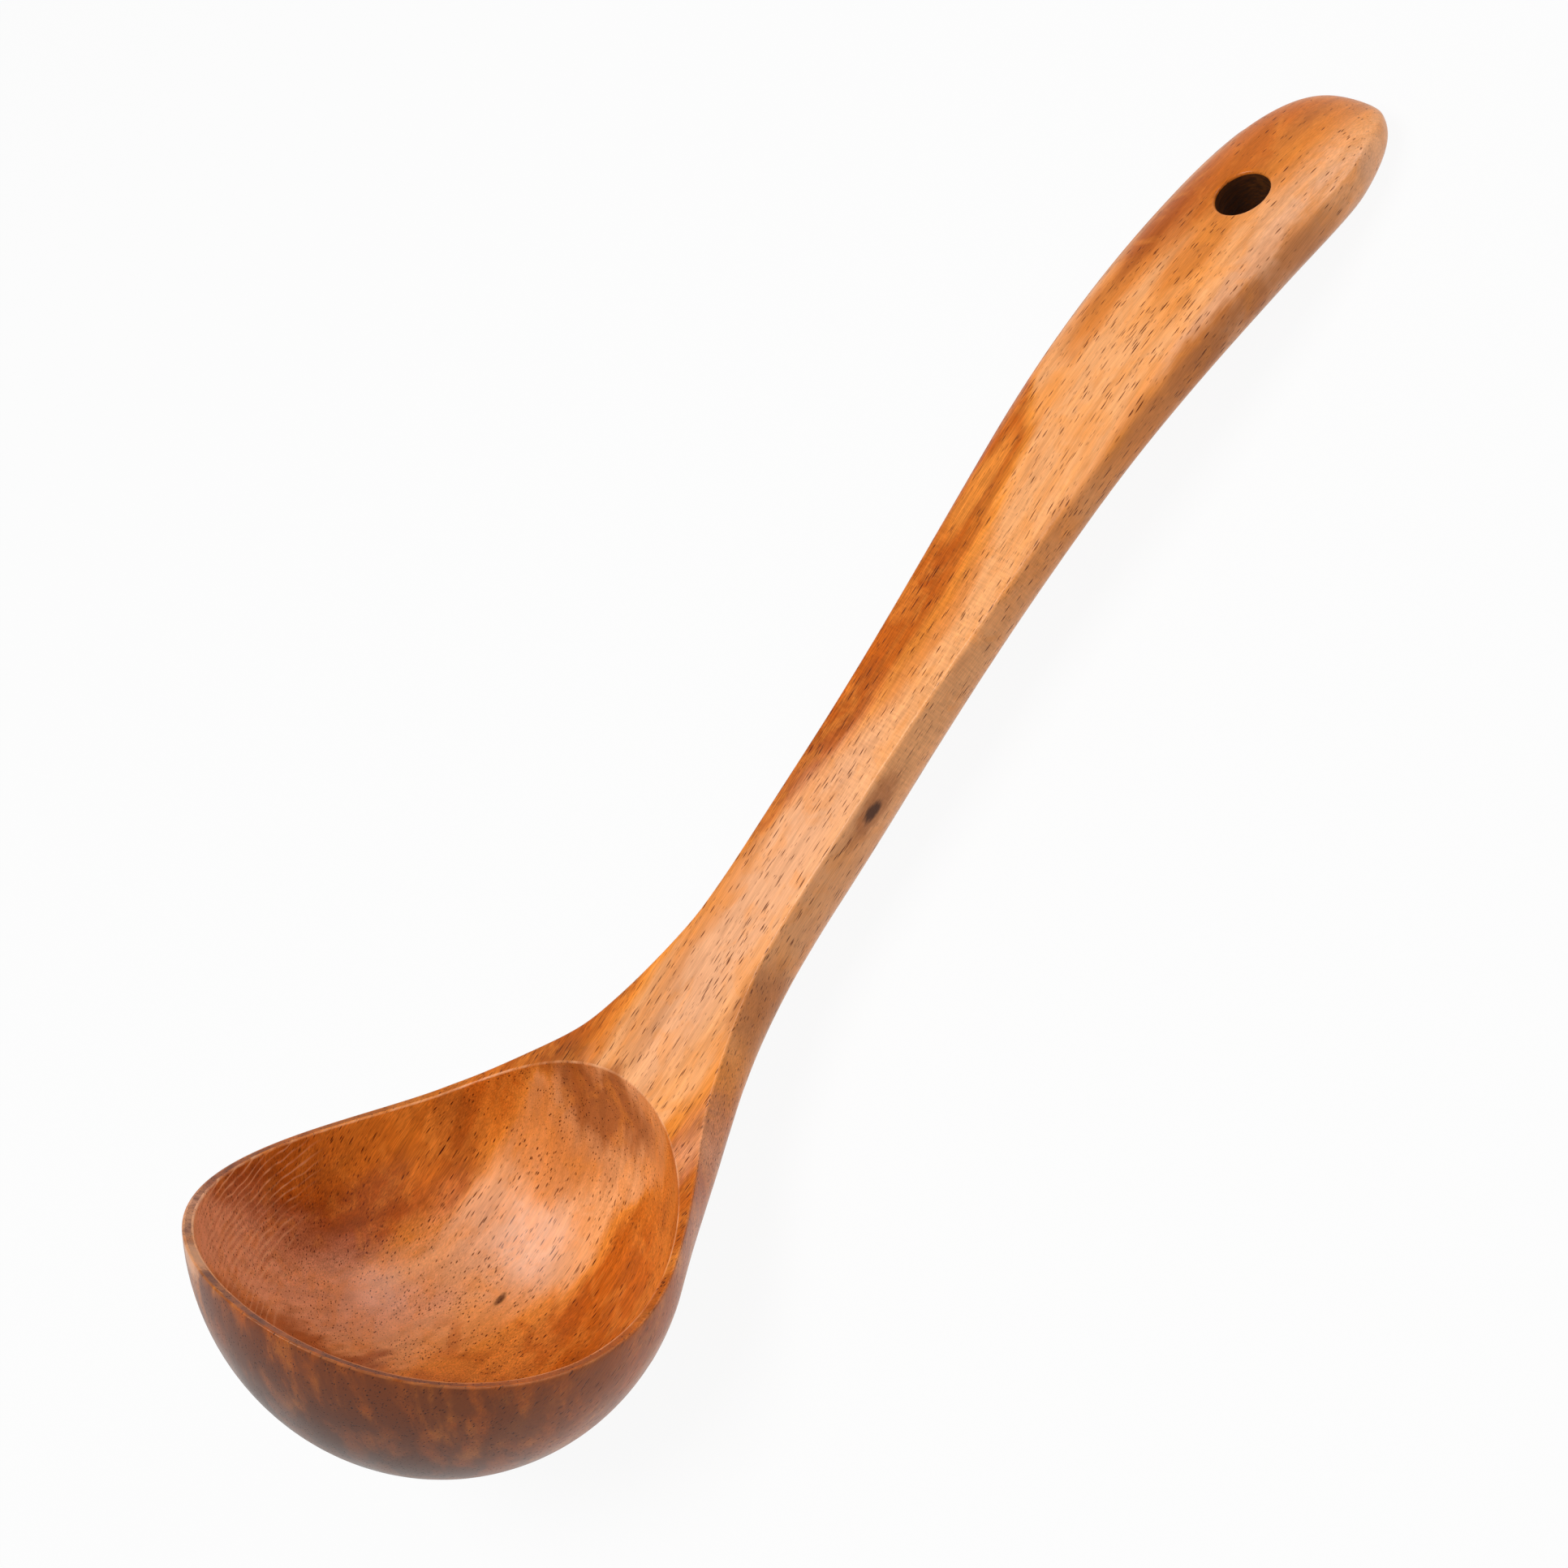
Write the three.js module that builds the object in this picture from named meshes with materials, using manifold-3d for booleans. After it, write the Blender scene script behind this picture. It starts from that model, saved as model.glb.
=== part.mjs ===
// A wooden soup ladle carved from one board: a round bowl, a sawn top, a flared neck and a hanging hole.
// Millimetres. The ladle is shaped in the bowl's own frame (x towards the handle, z up through the bowl)
// and then laid down as it lies on a table, on the bowl's belly and the back of the handle's end.
import * as THREE from 'three';
import { mergeVertices } from 'three/addons/utils/BufferGeometryUtils.js';
import Module from 'manifold-3d';

// Bowl, measured from the centre of its ball
const BOWL_RADIUS = 42.5;
const BELLY_DROP = 46.4;
const RIM_WALL = 1.6;
const BASE_WALL = 5.4;

// Side view of the sawn top: lip, dip, neck, straight handle and bent end
const LIP_RISE = 17.6;
const LIP_ANGLE = 42;
const LIP_EASE = 18;
const DIP_BACK = 17;
const DIP_DROP = 9.1;
const DIP_EASE_FRONT = 18;
const DIP_EASE_BACK = 9;
const NECK_BACK = 2.5;
const NECK_RISE = 1;
const NECK_EASE = 9.5;
const HANDLE_ANGLE = 31.3;
const HANDLE_STRAIGHT = 125;
const END_BEND_LENGTH = 90.9;
const END_BEND_ANGLE = 22.2;

// Widths of the handle seen on its top, and the places along it from the neck
const FLARE_START = -10;
const FLARE_FADE = 16;
const FLARE_WIDTH = 44;
const FLARE_POWER = 2.4;
const NECK_WIDTH = 18.7;
const NECK_PLACE = 42;
const GRIP_START = 62;
const GRIP_WIDTH = 30.9;
const GRIP_PLACE = 176;
const END_ROUND = 36;

// Thickness of the handle under its top
const HEEL_THICKNESS = 15;
const HEEL_LENGTH = 22;
const NECK_THICKNESS = 13.8;
const GRIP_THICKNESS = 10.9;
const END_THICKNESS = 12.2;
const NOSE_OVER = 10;
const NOSE_UNDER = 22;
const END_MIDDLE = 4.3;

// How square the handle's section, its plan end and its side end are, as superellipse powers
const SECTION_POWER = 3.2;
const PLAN_END_POWER = 2.8;
const SIDE_END_POWER = 2.1;
const NECK_BLEND_POWER = 4;

// Softening of the top's edges, from the crisp neck to the rounded end
const EDGE_EASE_NECK = 0.3;
const EDGE_EASE_END = 3.4;
const EDGE_EASE_START = 85;
const EDGE_SPREAD = 2.2;
const EDGE_POWER = 2.3;
const EDGE_DROP = 0.8;

// Hanging hole, square to the top of the bent end
const HOLE_DIAMETER = 10.4;
const HOLE_EASE = 0.5;
const HOLE_FROM_END = 30.2;

// Passes of sanding over the neck, and how far each way from the neck they reach
const SANDING_PASSES = 12;
const SANDING_REACH = 26;

// Facets
const LIP_STEPS = 26;
const DIP_STEPS = 12;
const HANDLE_STEPS = 24;
const END_STEPS = 26;
const BELLY_STEPS = 26;
const TOP_STEPS = 16;
const HOLLOW_TURNS = 64;
const HOLLOW_RINGS = 22;
const HOLE_TURNS = 32;
const SETTLING_PASSES = 30;

// Least size that is still divided by, and the distance within which corners are one
const LEAST = 1e-9;
const SAME = 1e-4;

const wasm = await Module();
wasm.setup();

const smooth = (from, to, at) => THREE.MathUtils.smoothstep(at, from, to);
const blend = (a, b, share) => a + (b - a) * share;
const direction = (degrees) => {
  const angle = THREE.MathUtils.degToRad(degrees);
  return new THREE.Vector2(Math.cos(angle), Math.sin(angle));
};

// The sawn top in side view, as four curves that meet without a corner
function topCurves() {
  const lipOut = BOWL_RADIUS * Math.sqrt(1 - (LIP_RISE / BELLY_DROP) ** 2);
  const lip = new THREE.Vector2(-lipOut, LIP_RISE);
  const dip = new THREE.Vector2(DIP_BACK, -DIP_DROP);
  const neck = new THREE.Vector2(BOWL_RADIUS + NECK_BACK, NECK_RISE);
  const along = direction(HANDLE_ANGLE);
  const bend = neck.clone().addScaledVector(along, HANDLE_STRAIGHT);
  const bendRadius = END_BEND_LENGTH / THREE.MathUtils.degToRad(END_BEND_ANGLE);
  const bendCentre = new THREE.Vector2(bend.x + bendRadius * along.y, bend.y - bendRadius * along.x);
  const bendStart = THREE.MathUtils.degToRad(90 + HANDLE_ANGLE);
  const bendEnd = bendStart - THREE.MathUtils.degToRad(END_BEND_ANGLE);
  return {
    lip: new THREE.CubicBezierCurve(
      lip,
      lip.clone().addScaledVector(direction(-LIP_ANGLE), LIP_EASE),
      new THREE.Vector2(dip.x - DIP_EASE_FRONT, dip.y),
      dip,
    ),
    dip: new THREE.CubicBezierCurve(
      dip,
      new THREE.Vector2(dip.x + DIP_EASE_BACK, dip.y),
      neck.clone().addScaledVector(along, -NECK_EASE),
      neck,
    ),
    handle: new THREE.LineCurve(neck, bend),
    end: new THREE.EllipseCurve(
      bendCentre.x, bendCentre.y, bendRadius, bendRadius, bendStart, bendEnd, true,
    ),
  };
}

// Half width, thickness, edge softening and closing nose of the handle at a place counted from the neck
const handleLength = HANDLE_STRAIGHT + END_BEND_LENGTH;

function handleSection(place) {
  const flare = Math.max(0, (NECK_PLACE - place) / (NECK_PLACE - FLARE_START));
  let width = NECK_WIDTH + (FLARE_WIDTH - NECK_WIDTH) * flare ** FLARE_POWER;
  width = blend(width, GRIP_WIDTH, smooth(GRIP_START, GRIP_PLACE, place));

  const heel = Math.max(0, 1 - (place - FLARE_START) / HEEL_LENGTH);
  let depth = NECK_THICKNESS + (HEEL_THICKNESS - NECK_THICKNESS) * heel ** 2;
  depth = blend(depth, GRIP_THICKNESS, smooth(NECK_PLACE, HANDLE_STRAIGHT, place));
  depth = blend(depth, END_THICKNESS, smooth(HANDLE_STRAIGHT, handleLength - NOSE_UNDER, place));

  const closing = (length, power) => {
    const near = Math.max(0, 1 - (handleLength - place) / length);
    return Math.max(0, 1 - near ** power) ** (1 / power);
  };
  const soft = blend(EDGE_EASE_NECK, EDGE_EASE_END, smooth(EDGE_EASE_START, GRIP_PLACE, place));
  return {
    half: (width / 2) * closing(END_ROUND, PLAN_END_POWER),
    depth,
    soft,
    noseOver: closing(NOSE_OVER, SIDE_END_POWER),
    noseUnder: closing(NOSE_UNDER, SIDE_END_POWER),
  };
}

// How far the bowl's ball reaches from a point of the top, in a direction of the section there
function ballReach(point, down, angle) {
  const flatten = BOWL_RADIUS / BELLY_DROP;
  const start = new THREE.Vector3(point.x, 0, point.y * flatten);
  const outside = start.lengthSq() - BOWL_RADIUS ** 2;
  if (outside >= 0) return 0;
  const ray = new THREE.Vector3(
    down.x * Math.sin(angle), Math.cos(angle), down.y * Math.sin(angle) * flatten,
  );
  const square = ray.lengthSq();
  const half = start.dot(ray);
  return (Math.sqrt(half * half - square * outside) - half) / square;
}

// One section square to the top curve: where it stands, and how far it reaches at each angle
function section(point, tangent, place) {
  const down = new THREE.Vector2(tangent.y, -tangent.x);
  const inBowl = smooth(FLARE_START - FLARE_FADE, FLARE_START, place);
  const handle = handleSection(Math.max(place, FLARE_START));
  const half = Math.max(handle.half * inBowl, LEAST);
  const depth = Math.max(handle.depth * inBowl, LEAST);
  const reaches = [];
  for (let step = 0; step <= BELLY_STEPS; step += 1) {
    const angle = (Math.PI * step) / BELLY_STEPS;
    const across = Math.abs(Math.cos(angle)) / half;
    const under = Math.abs(Math.sin(angle)) / depth;
    const bar = (across ** SECTION_POWER + under ** SECTION_POWER) ** (-1 / SECTION_POWER);
    const ball = ballReach(point, down, angle);
    reaches.push((ball ** NECK_BLEND_POWER + bar ** NECK_BLEND_POWER) ** (1 / NECK_BLEND_POWER));
  }
  const soft = handle.soft * smooth(FLARE_START, NECK_PLACE, place);
  return { ...handle, point, down, place, reaches, soft };
}

// Sands the neck fair: each reach there moves towards those of the sections before and after it
function sand(sections) {
  for (let pass = 0; pass < SANDING_PASSES; pass += 1) {
    const before = sections.map(({ reaches }) => [...reaches]);
    sections.forEach(({ place, reaches }, index) => {
      const share = 0.5 * (1 - smooth(SANDING_REACH / 2, SANDING_REACH, Math.abs(place)));
      if (share === 0) return;
      const back = place - sections[index - 1].place;
      const ahead = sections[index + 1].place - place;
      reaches.forEach((reach, step) => {
        const fair = blend(before[index - 1][step], before[index + 1][step], back / (back + ahead));
        reaches[step] = blend(reach, fair, share);
      });
    });
  }
}

// The closed ring of a section: the belly from left to right, then back over the top
function sectionRing({ point, down, reaches, soft, noseOver, noseUnder }) {
  const ring = [];
  const put = (side, below) => {
    const closed = blend(END_MIDDLE, below, below < END_MIDDLE ? noseOver : noseUnder);
    ring.push(new THREE.Vector3(point.x + down.x * closed, side, point.y + down.y * closed));
  };
  const drop = soft * EDGE_DROP;
  const keel = Math.max(reaches[BELLY_STEPS / 2], drop, LEAST);
  reaches.forEach((reach, step) => {
    const angle = (Math.PI * step) / BELLY_STEPS;
    put(reach * Math.cos(angle), drop + reach * Math.sin(angle) * (1 - drop / keel));
  });
  const edge = reaches[0];
  const spread = Math.max(soft * EDGE_SPREAD, LEAST);
  for (let step = 1; step < TOP_STEPS; step += 1) {
    const side = -Math.cos((Math.PI * step) / TOP_STEPS);
    const outer = Math.max(0, 1 - (edge * (1 - Math.abs(side))) / spread);
    const crown = (1 - outer ** EDGE_POWER) ** (1 / EDGE_POWER);
    put(edge * side, drop - soft * crown);
  }
  return ring;
}

// Every section of the blank, from the lip to the end
function blankRings() {
  const curves = topCurves();
  const sections = [];
  const run = (curve, steps, place, spread) => {
    for (let step = 1; step <= steps; step += 1) {
      const share = spread(step / steps);
      sections.push(section(curve.getPoint(share), curve.getTangent(share), place(share)));
    }
  };
  const dipLength = curves.dip.getLength();
  const lipLength = curves.lip.getLength();
  const crowdFirst = (share) => 1 - Math.cos((Math.PI * share) / 2);
  const crowdLast = (share) => Math.sin((Math.PI * share) / 2);
  const even = (share) => share;
  run(curves.lip, LIP_STEPS, (share) => (share - 1) * lipLength - dipLength, crowdFirst);
  run(curves.dip, DIP_STEPS, (share) => (share - 1) * dipLength, even);
  run(curves.handle, HANDLE_STEPS, (share) => share * HANDLE_STRAIGHT, even);
  run(curves.end, END_STEPS, (share) => HANDLE_STRAIGHT + share * END_BEND_LENGTH, crowdLast);
  sections.pop();
  sand(sections);
  const tip = curves.lip.getPoint(0);
  const last = curves.end.getPoint(1);
  const lastWay = curves.end.getTangent(1);
  return {
    rings: sections.map(sectionRing),
    tip: new THREE.Vector3(tip.x, 0, tip.y),
    last: new THREE.Vector3(last.x + lastWay.y * END_MIDDLE, 0, last.y - lastWay.x * END_MIDDLE),
    curves,
  };
}

// Skins the sections, closed by a point at each end
function skin({ rings, tip, last }) {
  const points = [tip, ...rings.flat(), last];
  const count = rings[0].length;
  const at = (ring, step) => 1 + ring * count + (step % count);
  const faces = [];
  for (let step = 0; step < count; step += 1) {
    faces.push(0, at(0, step), at(0, step + 1));
    faces.push(points.length - 1, at(rings.length - 1, step + 1), at(rings.length - 1, step));
  }
  for (let ring = 0; ring + 1 < rings.length; ring += 1) {
    for (let step = 0; step < count; step += 1) {
      faces.push(at(ring, step), at(ring + 1, step), at(ring + 1, step + 1));
      faces.push(at(ring, step), at(ring + 1, step + 1), at(ring, step + 1));
    }
  }
  const geometry = new THREE.BufferGeometry().setFromPoints(points);
  geometry.setIndex(faces);
  return geometry;
}

// Turned hollow of the bowl, with the ball's middle as its own
function hollow() {
  const radius = BOWL_RADIUS - RIM_WALL;
  const drop = BELLY_DROP - BASE_WALL;
  const profile = [];
  for (let ring = 0; ring <= HOLLOW_RINGS; ring += 1) {
    const angle = (Math.PI * ring) / HOLLOW_RINGS - Math.PI / 2;
    const out = ring === 0 || ring === HOLLOW_RINGS ? 0 : radius * Math.cos(angle);
    profile.push(new THREE.Vector2(out, drop * Math.sin(angle)));
  }
  return new THREE.LatheGeometry(profile, HOLLOW_TURNS).rotateX(Math.PI / 2);
}

// Hanging hole with eased mouths, square to the top where it is drilled
function hangingHole(endCurve) {
  const share = 1 - HOLE_FROM_END / END_BEND_LENGTH;
  const point = endCurve.getPoint(share);
  const tangent = endCurve.getTangent(share);
  const { depth, soft } = handleSection(handleLength - HOLE_FROM_END);
  const top = soft * (1 - EDGE_DROP);
  const radius = HOLE_DIAMETER / 2;
  const mouth = radius + HOLE_EASE;
  const past = HOLE_EASE + 1;
  const profile = [
    new THREE.Vector2(0, -depth - past),
    new THREE.Vector2(mouth + past, -depth - past),
    new THREE.Vector2(mouth, -depth),
    new THREE.Vector2(radius, -depth + HOLE_EASE),
    new THREE.Vector2(radius, top - HOLE_EASE),
    new THREE.Vector2(mouth, top),
    new THREE.Vector2(mouth + past, top + past),
    new THREE.Vector2(0, top + past),
  ];
  const tool = new THREE.LatheGeometry(profile, HOLE_TURNS).rotateX(Math.PI / 2);
  tool.rotateY(-Math.atan2(tangent.y, tangent.x));
  return tool.translate(point.x, 0, point.y);
}

function solid(geometry) {
  geometry.deleteAttribute('normal');
  geometry.deleteAttribute('uv');
  const merged = mergeVertices(geometry, SAME);
  return new wasm.Manifold(new wasm.Mesh({
    numProp: 3,
    vertProperties: new Float32Array(merged.attributes.position.array),
    triVerts: new Uint32Array(merged.index.array),
  }));
}

function fromSolid(body) {
  const mesh = body.getMesh();
  const geometry = new THREE.BufferGeometry();
  geometry.setAttribute('position', new THREE.BufferAttribute(mesh.vertProperties, 3));
  geometry.setIndex(new THREE.BufferAttribute(mesh.triVerts, 1));
  geometry.computeVertexNormals();
  return geometry;
}

// Turn about y that brings the bowl's belly and the handle's end down to one table
function restTurn(points) {
  let turn = 0;
  const height = (point) => point.z * Math.cos(turn) - point.x * Math.sin(turn);
  const lowest = (set) => set.reduce((low, point) => (height(point) < height(low) ? point : low));
  const bowl = points.filter((point) => point.x < BOWL_RADIUS);
  const end = points.filter((point) => point.x >= BOWL_RADIUS);
  for (let pass = 0; pass < SETTLING_PASSES; pass += 1) {
    const front = lowest(bowl);
    const back = lowest(end);
    turn = Math.atan2(back.z - front.z, back.x - front.x);
  }
  return turn;
}

const blank = blankRings();
const carved = solid(skin(blank))
  .subtract(solid(hollow()))
  .subtract(solid(hangingHole(blank.curves.end)));

const wood = new THREE.MeshStandardMaterial({ color: 0xb5672f, roughness: 0.38, metalness: 0 });
const body = new THREE.Mesh(fromSolid(carved), wood);
body.name = 'ladle_body';

const ladle = new THREE.Group();
ladle.add(body);
ladle.rotation.y = restTurn(blank.rings.flat());
ladle.updateMatrixWorld(true);
const box = new THREE.Box3().setFromObject(ladle, true);
ladle.position.set(-(box.min.x + box.max.x) / 2, 0, -box.min.z);

export default ladle;
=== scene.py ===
import math

import bmesh
import bpy
import numpy as np
from mathutils import Matrix, Vector
from mathutils.bvhtree import BVHTree


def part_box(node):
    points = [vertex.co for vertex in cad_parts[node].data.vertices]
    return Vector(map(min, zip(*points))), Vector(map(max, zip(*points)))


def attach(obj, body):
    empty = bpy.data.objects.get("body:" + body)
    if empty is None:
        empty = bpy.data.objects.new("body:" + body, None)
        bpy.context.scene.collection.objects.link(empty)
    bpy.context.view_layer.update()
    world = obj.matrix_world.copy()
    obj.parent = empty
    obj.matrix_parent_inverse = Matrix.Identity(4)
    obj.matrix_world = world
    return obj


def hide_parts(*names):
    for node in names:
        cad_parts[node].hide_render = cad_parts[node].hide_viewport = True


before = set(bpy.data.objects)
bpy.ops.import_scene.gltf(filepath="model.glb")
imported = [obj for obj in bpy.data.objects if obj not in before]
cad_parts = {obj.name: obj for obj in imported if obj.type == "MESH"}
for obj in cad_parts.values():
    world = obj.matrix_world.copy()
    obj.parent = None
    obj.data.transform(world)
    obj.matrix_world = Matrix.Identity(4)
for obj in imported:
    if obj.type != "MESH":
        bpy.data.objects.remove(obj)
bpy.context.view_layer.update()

scene = bpy.context.scene

# The carved ladle, in millimetres and in the bowl's own frame: x to the handle, z up, ball's middle at zero
ladle = {
    "bowlRadius": 42.5, "bellyDrop": 46.4, "rimWall": 1.6, "baseWall": 5.4,
    "lipRise": 17.6, "lipAngle": 42, "lipEase": 18,
    "dipBack": 17, "dipDrop": 9.1, "dipEaseFront": 18, "dipEaseBack": 9,
    "neckBack": 2.5, "neckRise": 1, "neckEase": 9.5,
    "handleAngle": 31.3, "handleStraight": 125, "endBendLength": 90.9, "endBendAngle": 22.2,
    "flareStart": -10, "flareFade": 16, "flareWidth": 44, "flarePower": 2.4,
    "neckWidth": 18.7, "neckPlace": 42,
    "gripStart": 62, "gripWidth": 30.9, "gripPlace": 176, "endRound": 36,
    "heelThickness": 15, "heelLength": 22, "neckThickness": 13.8,
    "gripThickness": 10.9, "endThickness": 12.2,
    "noseOver": 10, "noseUnder": 22, "endMiddle": 4.3,
    "sectionPower": 3.2, "planEndPower": 2.8, "sideEndPower": 2.1, "neckBlendPower": 4,
    "edgeEaseNeck": 0.3, "edgeEaseEnd": 3.4, "edgeEaseStart": 85,
    "edgeSpread": 2.2, "edgePower": 2.3, "edgeDrop": 0.8,
    "holeDiameter": 10.4, "holeEase": 0.6, "holeFromEnd": 30.2,
    "sandingPasses": 12, "sandingReach": 26, "sandingShare": 0.5,
    "rimRound": 0.42, "hollowRound": 0.36, "arrisRoundNeck": 0.5, "arrisRoundEnd": 0.9,
    "arrisNeckFrom": -30, "arrisEndFrom": 60, "arrisEndTo": 150,
    "arrisMost": 0.06,             # of half the handle's width
    "softenFrom": 17, "softenTo": 5, "softenPasses": 60, "softenShare": 0.5, "softenGrow": 0.7,
    "outsideFade": (-34, 52),      # the bowl's darker outside runs out along the neck
    "rimWearAndSheen": 0.2, "rimDark": 0.8,    # the rim's outer rounding, between the lighter edge (wear and painted highlight) and the dark outside
}

# How finely the ladle is meshed
mesh = {
    "cutPlace": 14,        # where the bowl's columns hand over to the handle's rings
    "arrisSteps": 110,     # along each side of the rim
    "bellySteps": 60, "topSteps": 60, "roundSteps": 4,
    "wallRows": 42, "bandRows": 8, "hollowRows": 44,
    "straightStep": 2.2, "endSteps": 64, "holeRows": 5, "boreRows": 8,
    "windowReach": 8.0,    # left open along the handle, to each side of the hole
    "handover": 14,        # where the rim's rounding turns into the handle's own
    "curveSamples": 201, "arrisSamples": 700,
    "topSamples": 1500, "topMargin": 6,
    "sandAngles": 241, "sandLip": 26, "sandDip": 12, "sandStraight": 24, "sandMargin": 6,
    "skinRings": 171, "skinAngles": 121, "skinMargin": 1.5, "castFrom": 120,
    "settlePasses": 30, "settleShare": 0.7,
    "wallAngle": 0.03,     # how far below the arris the wall's slope is taken
    "weld": 2e-6,          # metres
}

handleLength = ladle["handleStraight"] + ladle["endBendLength"]


def smoothStep(start, stop, at):
    share = min(1.0, max(0.0, (at - start) / (stop - start)))
    return share * share * (3 - 2 * share)


def mix(a, b, share):
    return a + (b - a) * share


def unit(vector):
    return vector / np.linalg.norm(vector)


def toward(vector, aim):
    return -vector if vector @ np.array(aim) < 0 else vector


# A way in the side view, as a way in the ladle's frame, and the way square to it
def along3(way):
    return np.array([way[0], 0, way[1]])


def above3(way):
    return np.array([-way[1], 0, way[0]])


def addObject(name, data):
    item = bpy.data.objects.new(name, data)
    scene.collection.objects.link(item)
    return item


# Side view of the sawn top

def bezier(points):
    p = [np.array(point, float) for point in points]

    def at(share):
        rest = 1 - share
        point = (rest ** 3 * p[0] + 3 * rest ** 2 * share * p[1]
                 + 3 * rest * share ** 2 * p[2] + share ** 3 * p[3])
        slope = rest ** 2 * (p[1] - p[0]) + 2 * rest * share * (p[2] - p[1]) + share ** 2 * (p[3] - p[2])
        return point, unit(slope)

    samples = np.array([at(share)[0] for share in np.linspace(0, 1, mesh["curveSamples"])])
    return at, np.linalg.norm(np.diff(samples, axis=0), axis=1).sum()


def heading(degrees):
    angle = math.radians(degrees)
    return np.array([math.cos(angle), math.sin(angle)])


lipOut = ladle["bowlRadius"] * math.sqrt(1 - (ladle["lipRise"] / ladle["bellyDrop"]) ** 2)
lipTip = np.array([-lipOut, ladle["lipRise"]])
dipPoint = np.array([ladle["dipBack"], -ladle["dipDrop"]])
neckPoint = np.array([ladle["bowlRadius"] + ladle["neckBack"], ladle["neckRise"]])
handleWay = heading(ladle["handleAngle"])
lipCurve, lipLength = bezier([
    lipTip, lipTip + heading(-ladle["lipAngle"]) * ladle["lipEase"],
    dipPoint - [ladle["dipEaseFront"], 0], dipPoint])
dipCurve, dipLength = bezier([
    dipPoint, dipPoint + [ladle["dipEaseBack"], 0],
    neckPoint - handleWay * ladle["neckEase"], neckPoint])
tipPlace = -lipLength - dipLength
bendRadius = ladle["endBendLength"] / math.radians(ladle["endBendAngle"])


def topCurve(place):
    if place < -dipLength:
        return lipCurve(max(0.0, 1 + (place + dipLength) / lipLength))
    if place < 0:
        return dipCurve(1 + place / dipLength)
    straight = min(place, ladle["handleStraight"])
    point = neckPoint + handleWay * straight
    bend = (place - straight) / bendRadius
    if bend == 0:
        return point, handleWay
    along = np.array([math.sin(bend), math.cos(bend) - 1]) * bendRadius
    up = np.array([-handleWay[1], handleWay[0]])
    way = handleWay * math.cos(bend) - up * math.sin(bend)
    return point + handleWay * along[0] + up * along[1], way


# The section of the handle at a place along it, counted from the neck

def closing(place, length, power):
    near = max(0.0, 1 - (handleLength - place) / length)
    return max(0.0, 1 - near ** power) ** (1 / power)


def handleSection(place):
    flare = max(0.0, (ladle["neckPlace"] - place) / (ladle["neckPlace"] - ladle["flareStart"]))
    width = ladle["neckWidth"] + (ladle["flareWidth"] - ladle["neckWidth"]) * flare ** ladle["flarePower"]
    width = mix(width, ladle["gripWidth"], smoothStep(ladle["gripStart"], ladle["gripPlace"], place))
    heel = max(0.0, 1 - (place - ladle["flareStart"]) / ladle["heelLength"])
    depth = ladle["neckThickness"] + (ladle["heelThickness"] - ladle["neckThickness"]) * heel ** 2
    depth = mix(depth, ladle["gripThickness"], smoothStep(ladle["neckPlace"], ladle["handleStraight"], place))
    noseStart = handleLength - ladle["noseUnder"]
    depth = mix(depth, ladle["endThickness"], smoothStep(ladle["handleStraight"], noseStart, place))
    soft = mix(ladle["edgeEaseNeck"], ladle["edgeEaseEnd"],
               smoothStep(ladle["edgeEaseStart"], ladle["gripPlace"], place))
    return width / 2 * closing(place, ladle["endRound"], ladle["planEndPower"]), depth, soft


def edgeSoft(place):
    if place <= ladle["flareStart"]:
        return 0.0
    return handleSection(place)[2] * smoothStep(ladle["flareStart"], ladle["neckPlace"], place)


# How far the blank reaches from its top at each angle of a section, from the left over the belly to the right

def blankReach(place, angles):
    point, way = topCurve(place)
    down = np.array([way[1], -way[0]])
    cosine, sine = np.cos(angles), np.abs(np.sin(angles))
    inBowl = smoothStep(ladle["flareStart"] - ladle["flareFade"], ladle["flareStart"], place)
    half, depth, _ = handleSection(max(place, ladle["flareStart"]))
    power = ladle["sectionPower"]
    across = np.abs(cosine) / max(half * inBowl, 1e-9)
    under = sine / max(depth * inBowl, 1e-9)
    bar = (across ** power + under ** power) ** (-1 / power)
    flatten = ladle["bowlRadius"] / ladle["bellyDrop"]
    start = np.array([point[0], point[1] * flatten])
    outside = start @ start - ladle["bowlRadius"] ** 2
    ball = np.zeros_like(angles)
    if outside < 0:
        ray = np.stack([down[0] * sine, cosine, down[1] * flatten * sine])
        square = (ray ** 2).sum(axis=0)
        middle = start[0] * ray[0] + start[1] * ray[2]
        ball = (np.sqrt(middle ** 2 - square * outside) - middle) / square
    join = ladle["neckBlendPower"]
    return (ball ** join + bar ** join) ** (1 / join)


tableAngles = np.linspace(0, math.pi, mesh["sandAngles"])


def sandedTable():
    lip, dip, straight = mesh["sandLip"], mesh["sandDip"], mesh["sandStraight"]
    lipShares = 1 - np.cos(np.pi / 2 * np.arange(1, lip + 1) / lip)
    places = list((lipShares - 1) * lipLength - dipLength)
    places += list((np.arange(1, dip + 1) / dip - 1) * dipLength)
    places += list(np.arange(1, straight + 1) / straight * ladle["handleStraight"])
    places = np.array(places)
    reaches = np.array([blankReach(place, tableAngles) for place in places])
    reach = ladle["sandingReach"]
    share = ladle["sandingShare"] * np.array([1 - smoothStep(reach / 2, reach, abs(place)) for place in places])
    gaps = np.diff(places)
    lean = (gaps[:-1] / (gaps[:-1] + gaps[1:]))[:, None]
    for _ in range(ladle["sandingPasses"]):
        fair = reaches[:-2] + (reaches[2:] - reaches[:-2]) * lean
        reaches[1:-1] += (fair - reaches[1:-1]) * share[1:-1, None]
    return places, reaches, np.gradient(reaches, places, axis=0)


sandPlaces, sandReaches, sandSlopes = sandedTable()


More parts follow.
